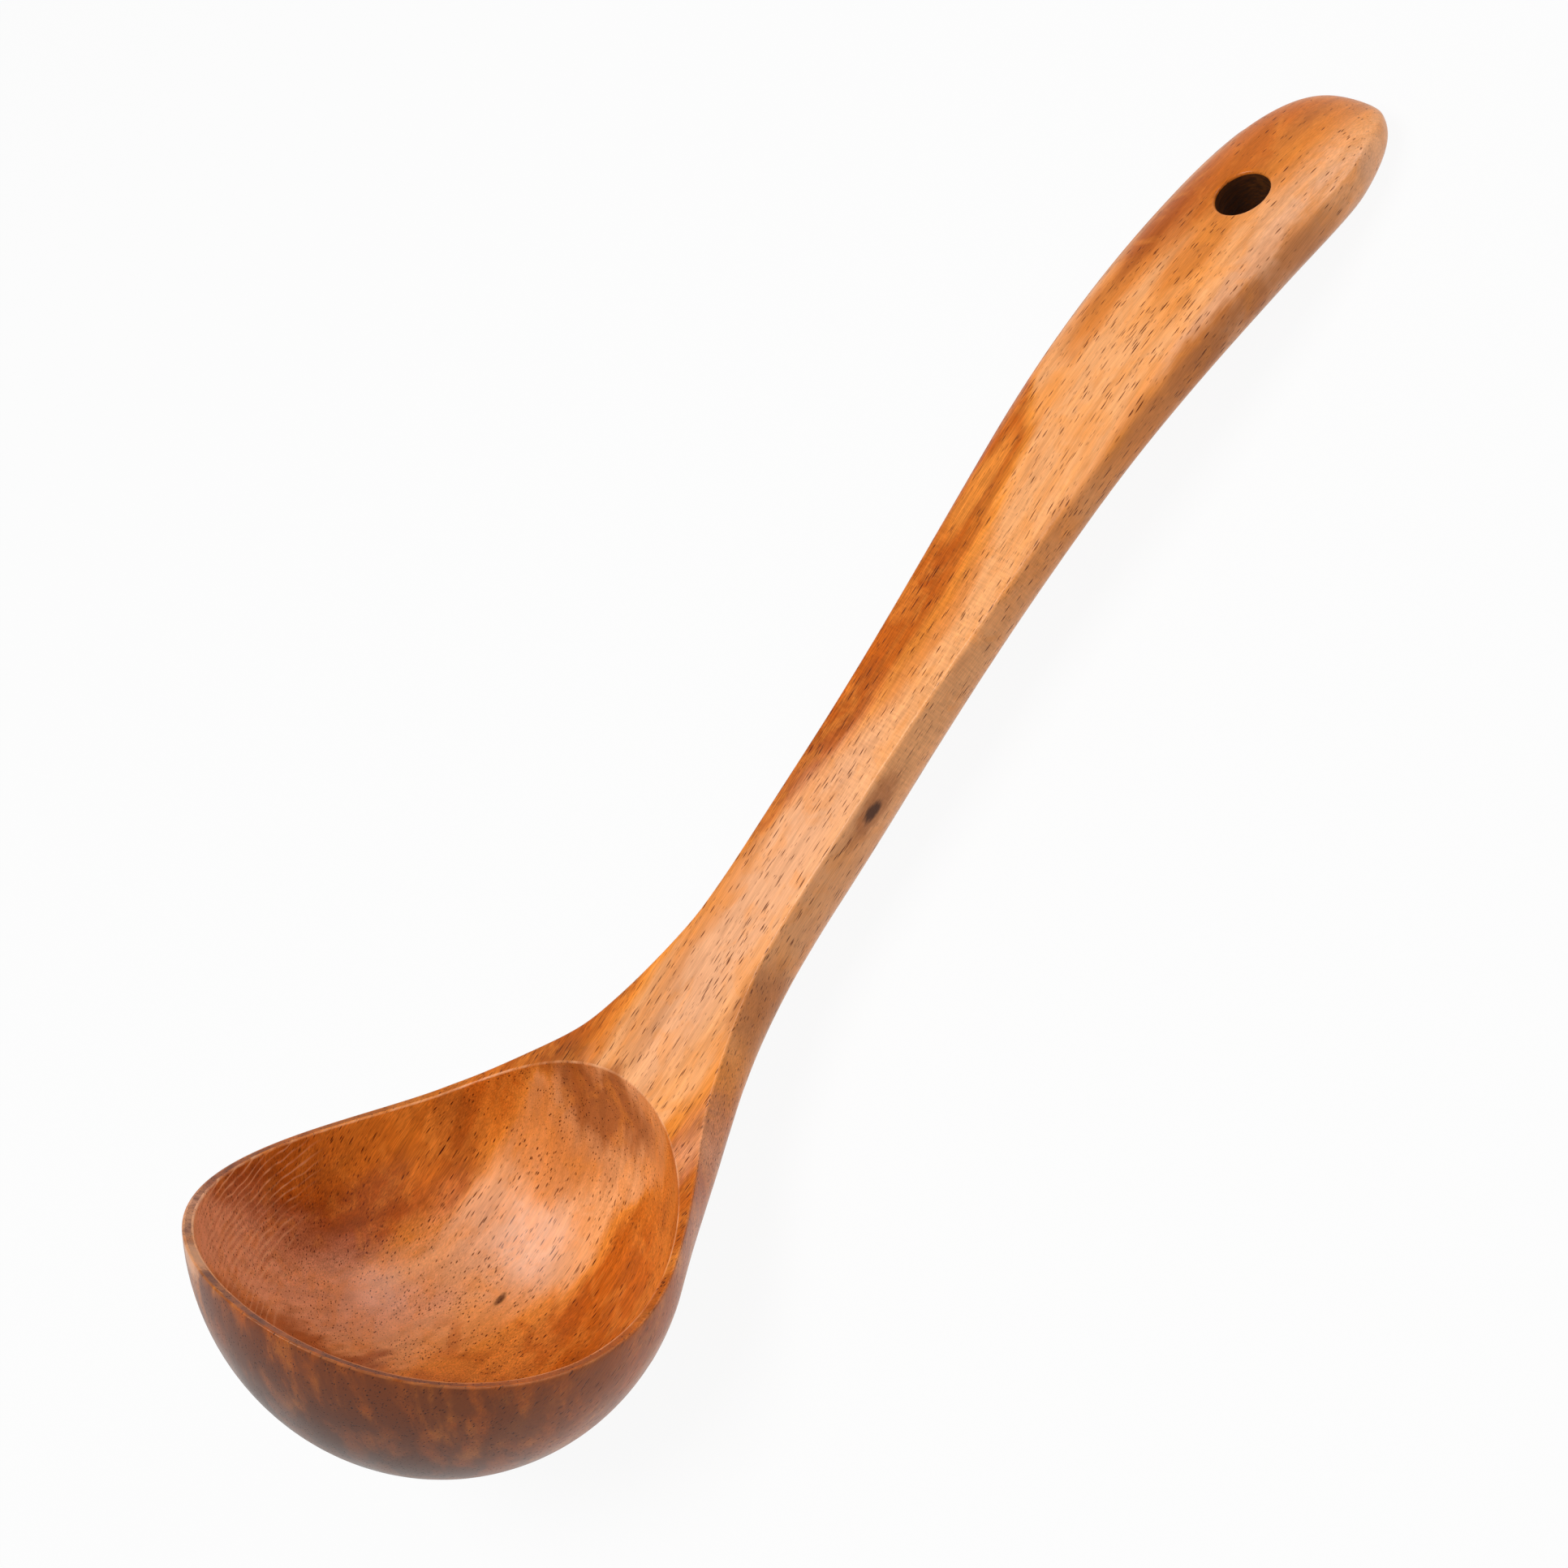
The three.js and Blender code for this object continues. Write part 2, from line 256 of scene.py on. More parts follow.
def reachAt(place, angles):
    angles = np.asarray(angles, float)
    if abs(place) > ladle["sandingReach"] + mesh["sandMargin"]:
        return blankReach(place, angles)
    after = int(np.searchsorted(sandPlaces, place))
    step = sandPlaces[after] - sandPlaces[after - 1]
    t = (place - sandPlaces[after - 1]) / step
    row = ((1 + 2 * t) * (1 - t) ** 2 * sandReaches[after - 1]
           + t * (1 - t) ** 2 * step * sandSlopes[after - 1]
           + t * t * (3 - 2 * t) * sandReaches[after] + t * t * (t - 1) * step * sandSlopes[after])
    return np.interp(angles, tableAngles, row)


def edgeAt(place):
    return float(reachAt(place, [0.0])[0])


def keelAt(place):
    return float(reachAt(place, [math.pi / 2])[0])


def inSection(place, side, below):
    point, way = topCurve(place)
    nose = ladle["noseOver"] if below < ladle["endMiddle"] else ladle["noseUnder"]
    below = mix(ladle["endMiddle"], below, closing(place, nose, ladle["sideEndPower"]))
    return np.array([point[0] + way[1] * below, side, point[1] - way[0] * below])


def bellyPoint(place, angle, reach, keel):
    drop = edgeSoft(place) * ladle["edgeDrop"]
    below = drop + reach * math.sin(angle) * (1 - drop / max(keel, drop, 1e-9))
    return inSection(place, reach * math.cos(angle), below)


def topLevel(place, side, edge):
    soft = edgeSoft(place)
    outer = min(1.0, max(0.0, 1 - (edge - abs(side)) / max(soft * ladle["edgeSpread"], 1e-9)))
    crown = (1 - outer ** ladle["edgePower"]) ** (1 / ladle["edgePower"])
    return soft * (ladle["edgeDrop"] - crown)


def topPoint(place, side):
    return inSection(place, side, topLevel(place, side, edgeAt(place)))


def underPoint(place, side):
    half, depth, _ = handleSection(place)
    power = ladle["sectionPower"]
    below = depth * (1 - (abs(side) / half) ** power) ** (1 / power)
    drop = edgeSoft(place) * ladle["edgeDrop"]
    return inSection(place, side, drop + below * (1 - drop / depth))


def roundCorner(start, corner, stop):
    points = []
    for t in np.linspace(0, 1, mesh["roundSteps"] + 1):
        points.append((1 - t) ** 2 * start + 2 * t * (1 - t) * corner + t * t * stop)
    return points


# The arris: the edge between the sawn top and the outside, with its rounding

def arrisRound(place):
    neck = mix(ladle["rimRound"], ladle["arrisRoundNeck"], smoothStep(ladle["arrisNeckFrom"], 0, place))
    size = mix(neck, ladle["arrisRoundEnd"], smoothStep(ladle["arrisEndFrom"], ladle["arrisEndTo"], place))
    return min(size, ladle["arrisMost"] * edgeAt(place)) if place > 0 else size


def handleRing(place):
    edge = edgeAt(place)
    size = arrisRound(place)
    first = math.atan2(size, edge)
    angles = np.linspace(first, math.pi - first, mesh["bellySteps"] + 1)
    keel = keelAt(place)
    belly = [bellyPoint(place, angle, reach, keel) for angle, reach in zip(angles, reachAt(place, angles))]
    inner = edge - size
    sides = -inner * np.cos(np.linspace(0, math.pi, mesh["topSteps"] + 1))
    chord = [topPoint(place, side) for side in sides]
    level = topLevel(place, inner, edge)
    right = roundCorner(belly[-1], inSection(place, -edge, level), chord[0])
    left = roundCorner(chord[-1], inSection(place, edge, level), belly[0])
    return belly, right, chord, left


def wallNormal(corner, place, way):
    if place < ladle["flareStart"] - ladle["flareFade"]:
        return unit(corner / np.array([ladle["bowlRadius"], ladle["bowlRadius"], ladle["bellyDrop"]]) ** 2)
    angle = mesh["wallAngle"]
    reach = float(reachAt(place, [angle])[0])
    lower = bellyPoint(place, angle, reach, keelAt(place))
    below = lower - inSection(place, abs(corner[1]), edgeSoft(place) * ladle["edgeDrop"])
    below[1] *= 1 if corner[1] >= 0 else -1
    return unit(toward(np.cross(way, below), corner))


# Places from the lip's tip on, closest together at the tip
def fromTip(stop, count):
    return [mix(tipPlace, stop, 1 - math.cos(math.pi / 2 * share)) for share in np.linspace(0, 1, count)]


def arrisChain():
    dense = np.array(fromTip(mesh["cutPlace"], mesh["arrisSamples"]))
    edges = np.array([edgeAt(place) if place > tipPlace else 0.0 for place in dense])
    line = np.array([inSection(p, e, edgeSoft(p) * ladle["edgeDrop"]) for p, e in zip(dense, edges)])
    run = np.concatenate([[0], np.cumsum(np.linalg.norm(np.diff(line, axis=0), axis=1))])
    spots = np.linspace(run[-1], 0, mesh["arrisSteps"] + 1)
    places = np.interp(spots, run, dense)
    left = np.stack([np.interp(spots, run, line[:, axis]) for axis in range(3)], axis=1)
    right = left[-2::-1] * [1, -1, 1]
    return np.concatenate([left, right]), np.concatenate([places, places[-2::-1]])


def arrisStrips():
    strips = []
    chain, places = arrisChain()
    for corner, place, way in zip(chain, places, np.gradient(chain, axis=0)):
        way = unit(way)
        up = above3(topCurve(place)[1])
        inward = toward(unit(np.cross(up, way)), (-corner[0], -corner[1], 0))
        below = toward(unit(np.cross(wallNormal(corner, place, way), way)), (0, 0, -1))
        size = arrisRound(place)
        strip = roundCorner(corner + below * size, corner, corner + inward * size)
        own = smoothStep(mesh["cutPlace"] - mesh["handover"], mesh["cutPlace"], place)
        if own > 0:                            # the strip runs into the handle's own rounding
            _, right, _, left = handleRing(place)
            ringStrip = left[::-1] if corner[1] > 0 else right
            strip = [mix(a, b, own) for a, b in zip(strip, ringStrip)]
        strips.append(strip)
    return np.array(strips)


# Heights of the sawn top over the plan, for the bowl's rim and the neck

topPlaces = np.linspace(tipPlace, mesh["cutPlace"] + mesh["topMargin"], mesh["topSamples"])
topPoints = np.array([topCurve(place)[0] for place in topPlaces])


def topHeight(x):
    return float(np.interp(x, topPoints[:, 0], topPoints[:, 1]))


def topPlace(x):
    return float(np.interp(x, topPoints[:, 0], topPlaces))


def rimPoint(x, y):
    place = topPlace(x)
    if place <= ladle["flareStart"]:
        return np.array([x, y, topHeight(x)])
    way = topCurve(place)[1]
    lift = -topLevel(place, y, edgeAt(place))
    return np.array([x - way[1] * lift, y, topHeight(x) + way[0] * lift])


# The turned hollow: its edge on the sawn top, and its wall down to the bottom

hollowRadius = ladle["bowlRadius"] - ladle["rimWall"]
hollowDrop = ladle["bellyDrop"] - ladle["baseWall"]
hollowSize = np.array([hollowRadius, hollowRadius, hollowDrop])


def hollowEdge(angle):
    out = hollowRadius
    for _ in range(mesh["settlePasses"]):
        height = topHeight(out * math.cos(angle))
        wanted = hollowRadius * math.sqrt(max(0.0, 1 - (height / hollowDrop) ** 2))
        out = mix(out, wanted, mesh["settleShare"])
    return np.array([out * math.cos(angle), out * math.sin(angle), topHeight(out * math.cos(angle))])


def hollowStrips(outerLoop):
    plan = np.arctan2(outerLoop[:, 1], outerLoop[:, 0])
    edge = np.array([hollowEdge(angle) for angle in plan])
    ways = np.roll(edge, -1, axis=0) - np.roll(edge, 1, axis=0)
    strips = []
    for corner, way in zip(edge, ways):
        way = unit(way)
        up = above3(topCurve(topPlace(corner[0]))[1])
        outward = toward(unit(np.cross(up, way)), (corner[0], corner[1], 0))
        below = toward(unit(np.cross(corner / hollowSize ** 2, way)), (0, 0, -1))
        size = ladle["hollowRound"]
        start = corner + outward * size
        start = rimPoint(start[0], start[1])
        strips.append(roundCorner(start, rimPoint(corner[0], corner[1]), corner + below * size))
    return np.array(strips)


# A way part of the turn from straight down to the given way
def fromBottom(way, share):
    down = np.array([0.0, 0.0, -1.0])
    angle = math.acos(max(-1.0, min(1.0, float(down @ way))))
    return (math.sin((1 - share) * angle) * down + math.sin(share * angle) * way) / math.sin(angle)


def outsideSkin():
    places = fromTip(mesh["cutPlace"] + mesh["skinMargin"], mesh["skinRings"])[1:]
    count = mesh["skinAngles"]
    angles = np.linspace(0, math.pi, count)
    points = []
    for place in places:
        reaches = reachAt(place, angles)
        keel = reaches[count // 2]
        points += [Vector(bellyPoint(place, angle, reach, keel)) for angle, reach in zip(angles, reaches)]
    faces = []
    for ring in range(len(places) - 1):
        for step in range(count - 1):
            at = ring * count + step
            faces.append((at, at + count, at + count + 1, at + 1))
    return BVHTree.FromPolygons(points, faces)


def outsideWall(loop):
    skin = outsideSkin()
    rows = []
    for row in range(1, mesh["wallRows"]):
        ways = [fromBottom(unit(target), row / mesh["wallRows"]) for target in loop]
        rows.append(np.array([skin.ray_cast(Vector(way * mesh["castFrom"]), Vector(-way))[0] for way in ways]))
    return rows + [loop]


def hollowWall(loop):
    rows = [loop]
    for row in range(1, mesh["hollowRows"]):
        share = 1 - row / mesh["hollowRows"]
        rows.append(np.array([fromBottom(unit(point / hollowSize), share) * hollowSize for point in loop]))
    return rows


# Collects the patches, in millimetres in the bowl's frame

class Patches:
    def __init__(self):
        self.points = []
        self.faces = []
        self.bore = []
        self.marks = {"outside": {}, "edge": {}}

    def add(self, points):
        start = len(self.points)
        self.points += [tuple(point) for point in points]
        return list(range(start, len(self.points)))

    def mark(self, name, rows, value=1.0):
        for row in rows:
            self.marks[name].update({point: value for point in row})

    def band(self, rows, closed=True, skip=None):
        ids = [self.add(row) for row in rows]
        count = len(ids[0])
        for r in range(len(ids) - 1):
            for c in range(count if closed else count - 1):
                n = (c + 1) % count
                if not (skip and skip(r, c)):
                    self.faces.append((ids[r][c], ids[r][n], ids[r + 1][n], ids[r + 1][c]))
        return ids

    def cap(self, ring, pole):
        tip = self.add([pole])[0]
        for c in range(len(ring)):
            self.faces.append((ring[c], ring[(c + 1) % len(ring)], tip))


def bowlPatches(patches):
    strips = arrisStrips()
    belly, _, chord, _ = handleRing(mesh["cutPlace"])
    wallLoop = np.concatenate([strips[:, 0], np.array(belly[::-1])[1:-1]])
    outerLoop = np.concatenate([strips[:, -1], np.array(chord)[1:-1]])
    wall = patches.band(outsideWall(wallLoop))
    patches.mark("outside", wall)
    patches.cap(wall[0], (0, 0, -ladle["bellyDrop"]))
    arris = patches.band(list(strips.transpose(1, 0, 2)), closed=False)
    patches.mark("edge", arris[1:-1], ladle["rimWearAndSheen"])
    patches.mark("outside", arris, ladle["rimDark"])
    inner = hollowStrips(outerLoop)
    band = [outerLoop]
    for row in range(1, mesh["bandRows"]):
        plan = mix(outerLoop[:, :2], inner[:, 0, :2], row / mesh["bandRows"])
        band.append(np.array([rimPoint(x, y) for x, y in plan]))
    rim = patches.band(band + [inner[:, 0]])
    patches.mark("outside", rim[1:-1])
    lip = patches.band(list(inner.transpose(1, 0, 2)))
    patches.mark("edge", lip[1:-1])
    hollow = patches.band(hollowWall(inner[:, -1]))
    patches.cap(hollow[-1], (0, 0, -hollowDrop))


# The handle's rings, with a window left open over and under the hanging hole

holePlace = handleLength - ladle["holeFromEnd"]


def handlePlaces():
    straight = np.arange(mesh["cutPlace"], ladle["handleStraight"], mesh["straightStep"])
    shares = np.sin(np.pi / 2 * np.arange(0, mesh["endSteps"]) / mesh["endSteps"])
    return np.concatenate([straight, ladle["handleStraight"] + shares * ladle["endBendLength"]])


def handlePatches(patches):
    places = handlePlaces()
    rings = []
    for place in places:
        belly, right, chord, left = handleRing(place)
        rings.append(np.array(belly + right[1:-1] + chord + left[1:-1]))
    first, last = (int(np.argmin(np.abs(places - (holePlace + away))))
                   for away in (-mesh["windowReach"], mesh["windowReach"]))
    chordStart = mesh["bellySteps"] + mesh["roundSteps"]
    low = mesh["topSteps"] // 3
    high = mesh["topSteps"] - low

    def inWindow(r, c):
        over = chordStart + low <= c < chordStart + high
        return first <= r < last and (low <= c < high or over)

    ids = patches.band(rings, skip=inWindow)
    patches.mark("outside", [ring[:chordStart - mesh["roundSteps"] + 1] for ring in ids])
    patches.cap(ids[-1], inSection(handleLength, 0, ladle["endMiddle"]))

    # round the window: along one side, across, back and across again
    walk = [(r, low) for r in range(first, last)] + [(last, c) for c in range(low, high)]
    walk += [(r, high) for r in range(last, first, -1)] + [(first, c) for c in range(high, low, -1)]
    under = np.array([rings[r][c] for r, c in walk])
    over = np.array([rings[r][chordStart + mesh["topSteps"] - c] for r, c in walk])
    holePatches(patches, over, under, [places[r] - holePlace for r, c in walk])


def holePatches(patches, over, under, runs):
    radius = ladle["holeDiameter"] / 2
    mouth = radius + ladle["holeEase"]
    point, way = topCurve(holePlace)
    axis, along = above3(way), along3(way)
    across = np.array([0.0, 1.0, 0.0])
    centre = along3(point)
    depth = handleSection(holePlace)[1]
    stretch = bendRadius / (bendRadius - depth)

    columns = []
    for top, bottom, run in zip(over, under, runs):
        overTurn = math.atan2(top[1], run)
        underTurn = math.atan2(bottom[1], run / stretch)

        def overAt(out):
            return topPoint(holePlace + out * math.cos(overTurn), out * math.sin(overTurn))

        def underAt(out):
            return underPoint(holePlace + out * math.cos(underTurn) * stretch, out * math.sin(underTurn))

        column = [top]
        overOut = math.hypot(run, top[1])
        underOut = math.hypot(run / stretch, bottom[1])
        shares = [row / mesh["holeRows"] for row in range(1, mesh["holeRows"])]
        column += [overAt(mix(overOut, mouth, share)) for share in shares]
        rim, foot = overAt(radius), underAt(radius)
        upper = rim - axis * ladle["holeEase"]
        lower = foot + axis * ladle["holeEase"]
        column += roundCorner(overAt(mouth), rim, upper)
        for row in range(1, mesh["boreRows"]):
            share = row / mesh["boreRows"]
            turn = mix(overTurn, underTurn, share) if abs(overTurn - underTurn) < 1 else overTurn
            level = mix((upper - centre) @ axis, (lower - centre) @ axis, share)
            column.append(centre + axis * level + (along * math.cos(turn) + across * math.sin(turn)) * radius)
        column += roundCorner(lower, foot, underAt(mouth))
        column += [underAt(mix(mouth, underOut, share)) for share in shares]
        column.append(bottom)
        columns.append(column)
    rows = list(np.array(columns).transpose(1, 0, 2))
    boreTop = mesh["holeRows"] + mesh["roundSteps"]
    boreFoot = boreTop + mesh["boreRows"]
    patches.band(rows[:boreTop + 1])
    start = len(patches.faces)
    patches.band(rows[boreTop:boreFoot + 1])
    patches.bore = range(start, len(patches.faces))
    patches.band(rows[boreFoot:])


# Lays the ladle down on the bowl's belly and the back of the handle's end, as the solid lies

def restMatrix(points):
    turn = 0.0
    bowl = points[points[:, 0] < ladle["bowlRadius"]]
    end = points[points[:, 0] >= ladle["bowlRadius"]]
    for _ in range(mesh["settlePasses"]):
        front, back = (part[np.argmin(part[:, 2] * math.cos(turn) - part[:, 0] * math.sin(turn))]
                       for part in (bowl, end))
        turn = math.atan2(back[2] - front[2], back[0] - front[0])
    return np.array([[math.cos(turn), 0, math.sin(turn)], [0, 1, 0], [-math.sin(turn), 0, math.cos(turn)]])


# Rounds the handle's end a little more, as sanding by hand leaves it
def soften(points, faces):
    tip = inSection(handleLength, 0, ladle["endMiddle"])
    way = along3(topCurve(handleLength)[1])
    back = (tip - points) @ way
    near = np.flatnonzero((back < ladle["softenFrom"]) & (points[:, 0] > ladle["bowlRadius"]))
    spot = {}                                  # the patches' shared points move as one
    same = np.array([spot.setdefault(tuple(np.round(points[i], 4)), len(spot)) for i in near])
    local = dict(zip(near.tolist(), same.tolist()))
    pairs = set()
    for face in faces:
        if all(point in local for point in face):
            ring = [local[point] for point in face]
            sides = zip(ring, ring[1:] + ring[:1])
            pairs.update(tuple(sorted(side)) for side in sides if side[0] != side[1])
    pairs = np.array(sorted(pairs))
    place = np.zeros((len(spot), 3))
    place[same] = points[near]
    far = np.zeros(len(spot))
    far[same] = back[near]
    share = np.array([1 - smoothStep(ladle["softenTo"], ladle["softenFrom"], b) for b in far])[:, None]
    share *= ladle["softenShare"]
    for _ in range(ladle["softenPasses"]):
        total = np.zeros_like(place)
        count = np.zeros((len(spot), 1))
        for one, other in ((0, 1), (1, 0)):
            np.add.at(total, pairs[:, one], place[pairs[:, other]])
            np.add.at(count, pairs[:, one], 1)
        place += (total / np.maximum(count, 1) - place) * share
    points[near] = place[same]
    grow = np.array([1 - smoothStep(0, ladle["softenFrom"], b) for b in back[near]])
    points[near] += grow[:, None] * ladle["softenGrow"] * way


def makeLadle():
    patches = Patches()
    bowlPatches(patches)
    handlePatches(patches)
    points = np.array(patches.points)
    outward = np.array([1 - smoothStep(*ladle["outsideFade"], x) for x in points[:, 0]])
    soften(points, patches.faces)
    points = points @ restMatrix(points).T
    low, high = points.min(axis=0), points.max(axis=0)
    solidLow, solidHigh = (np.array(corner) * 1000 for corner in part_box("ladle_body"))
    middle = (solidLow + solidHigh) / 2 - (low + high) / 2
    points += [middle[0], 0, solidLow[2] - low[2]]
    body = bpy.data.meshes.new("carvedLadle")
    body.from_pydata([tuple(point) for point in points / 1000], [], patches.faces)
    for name, marked in patches.marks.items():
        values = np.zeros(len(points))
        values[list(marked)] = list(marked.values())
        values *= outward if name == "outside" else 1
        body.attributes.new(name, 'FLOAT', 'POINT').data.foreach_set("value", values)
    for face in patches.bore:
        body.polygons[face].material_index = 1
    shape = bmesh.new()
    shape.from_mesh(body)
    bmesh.ops.remove_doubles(shape, verts=shape.verts, dist=mesh["weld"])
    bmesh.ops.recalc_face_normals(shape, faces=shape.faces)
    loose = sum(1 for edge in shape.edges if not edge.is_manifold)
    for face in shape.faces:
        face.smooth = True
    shape.to_mesh(body)
    shape.free()
    piece = addObject("carved_ladle", body)
    print("ladle carved:", len(body.vertices), "points,", len(body.polygons), "faces,", loose, "open edges")
    return piece


ladlePiece = makeLadle()
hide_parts("ladle_body")
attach(ladlePiece, "root")


# Points a camera or a light along its own way
def aim(item, place, way, roll=0.0):
    turn = way.to_track_quat('-Z', 'Y').to_matrix() @ Matrix.Rotation(math.radians(roll), 3, 'Z')
    item.matrix_world = Matrix.Translation(place) @ turn.to_4x4()


# Camera, in millimetres over the middle of the ladle, rolled so that the handle climbs to the right
camera = {
    "place": (-7.8, -363.0, 387.6),
    "lookAt": (-11.08, 12.65, 20.0),
    "roll": -57.35, "lens": 67.48, "sensor": 36, "clipStart": 0.01,
}


def makeCamera():
    data = bpy.data.cameras.new("camera")
    data.lens = camera["lens"]
    data.sensor_width = camera["sensor"]
    data.clip_start = camera["clipStart"]
    item = addObject("camera", data)
    place = Vector(camera["place"]) / 1000
    aim(item, place, Vector(camera["lookAt"]) / 1000 - place, camera["roll"])
    scene.camera = item
    print("camera set")


makeCamera()


# Shader nodes: a socket given as a value is linked, anything else is set

def fill(tree, item, inputs):
    for name, value in dict(inputs).items():
        if isinstance(value, bpy.types.NodeSocket):
            tree.links.new(value, item.inputs[name])
        else:
            item.inputs[name].default_value = value


def node(tree, kind, inputs=(), **settings):
    item = tree.nodes.new("ShaderNode" + kind)
    for name, value in settings.items():
        setattr(item, name, value)
    fill(tree, item, inputs)
    return item


def calc(tree, operation, *values, clamp=False):
    return node(tree, "Math", enumerate(values), operation=operation, use_clamp=clamp).outputs[0]


def times(tree, first, *others):
    for other in others:
        first = calc(tree, 'MULTIPLY', first, other)
    return first


def vectorNode(tree, operation, *values):
    return node(tree, "VectorMath", enumerate(values), operation=operation).outputs


def vectorCalc(tree, operation, a, b):
    return vectorNode(tree, operation, a, b)["Vector"]


def brightened(tree, colour, share):
    return node(tree, "VectorMath", {0: colour, "Scale": share}, operation='SCALE').outputs["Vector"]


def splitAxes(tree, vector):
    return node(tree, "SeparateXYZ", {"Vector": vector}).outputs


# From a low and a high value, to a low and a high value
def ranged(tree, value, low=0.0, high=1.0, toLow=0.0, toHigh=1.0, kind='LINEAR'):
    return node(tree, "MapRange", {"Value": value, "From Min": low, "From Max": high, "To Min": toLow,
                                   "To Max": toHigh}, interpolation_type=kind).outputs["Result"]


def ease(tree, value, *limits):
    return ranged(tree, value, *limits, kind='SMOOTHSTEP')


def blendColour(tree, share, a, b, kind='MIX'):
    return node(tree, "Mix", {0: share, 6: a, 7: b}, data_type='RGBA', blend_type=kind,
                clamp_factor=True).outputs[2]


def newMaterial(name):
    material = bpy.data.materials.new(name)
    material.use_nodes = True
    return material, material.node_tree, material.node_tree.nodes["Principled BSDF"]


# Seen straight, or in a gloss or through glass
def seenPlainly(tree):
    path = node(tree, "LightPath").outputs
    seen = calc(tree, 'MAXIMUM', path["Is Camera Ray"], path["Is Glossy Ray"])
    return calc(tree, 'MAXIMUM', seen, path["Is Transmission Ray"])


floor = {
    "size": 6.0,
    "colour": (0.62, 0.62, 0.62, 1),
    "roughness": 0.9,
    "gloss": 0.1,
    "whiteness": 0.93,      # the rest of what the eye sees of it keeps the ladle's shadow
}


def makeFloor():
    data = bpy.data.meshes.new("floor")
    half = floor["size"] / 2
    corners = [(-half, -half, 0), (half, -half, 0), (half, half, 0), (-half, half, 0)]
    data.from_pydata(corners, [], [(0, 1, 2, 3)])
    item = addObject("floor", data)
    material, tree, surface = newMaterial("paleFloor")
    fill(tree, surface, {"Base Color": floor["colour"], "Roughness": floor["roughness"],
                         "Specular IOR Level": floor["gloss"]})
    share = times(tree, seenPlainly(tree), floor["whiteness"])
    white = node(tree, "Emission").outputs["Emission"]
    blend = node(tree, "MixShader", {"Fac": share, 1: surface.outputs["BSDF"], 2: white})
    fill(tree, tree.nodes["Material Output"], {"Surface": blend.outputs["Shader"]})
    data.materials.append(material)
    print("floor laid")


makeFloor()


# Two lamps over the table, and a white room
lights = {
    "overhead": {"place": (-0.2, 0.0, 1.1), "size": 0.6, "power": 10.5},
    "window": {"place": (0.9, -0.5, 0.4), "size": 0.45, "power": 2.9},
    "room": 0.30,
    "ceiling": 0.3,                # how bright the backdrop is overhead
    "ceilingFrom": (0.27, 0.5),    # how far up it starts to darken, and where it has darkened
}


def makeLights():
    for name in ("overhead", "window"):
        data = bpy.data.lights.new(name, 'AREA')
        data.size = lights[name]["size"]
        data.energy = lights[name]["power"]
        place = Vector(lights[name]["place"])
        aim(addObject(name, data), place, -place)
    world = bpy.data.worlds.new("studio")
    world.use_nodes = True
    tree = world.node_tree
    up = splitAxes(tree, node(tree, "TexCoord").outputs["Generated"])["Z"]
    backdrop = ranged(tree, up, *lights["ceilingFrom"], 1.0, lights["ceiling"])
    strength = ranged(tree, seenPlainly(tree), toLow=lights["room"], toHigh=backdrop)
    fill(tree, tree.nodes["Background"], {"Color": (1, 1, 1, 1), "Strength": strength})
    scene.world = world
    print("lights set")


makeLights()

# The wood's colours
tones = {
    "pale": (0.86, 0.400, 0.165, 1),
    "pink": (0.78, 0.420, 0.255, 1),
    "gold": (0.83, 0.285, 0.045, 1),
    "amber": (0.63, 0.185, 0.020, 1),
    "heart": (0.50, 0.110, 0.008, 1),
    "deep": (0.34, 0.062, 0.005, 1),
    "umber": (0.31, 0.080, 0.014, 1),
    # mauve: the tone of the painted reflection and painted highlight among the stains
    "mauve": (0.82, 0.380, 0.215, 1),
    "outside": (0.165, 0.039, 0.010, 1),
    "pore": (0.13, 0.05, 0.025, 1),      # dims the wood under it
    "scorch": (0.06, 0.015, 0.005, 1),
    "edge": (0.82, 0.42, 0.22, 1),
    # bore: near black, painted shade inside the hanging hole
    "bore": (0.018, 0.007, 0.004, 1),
}

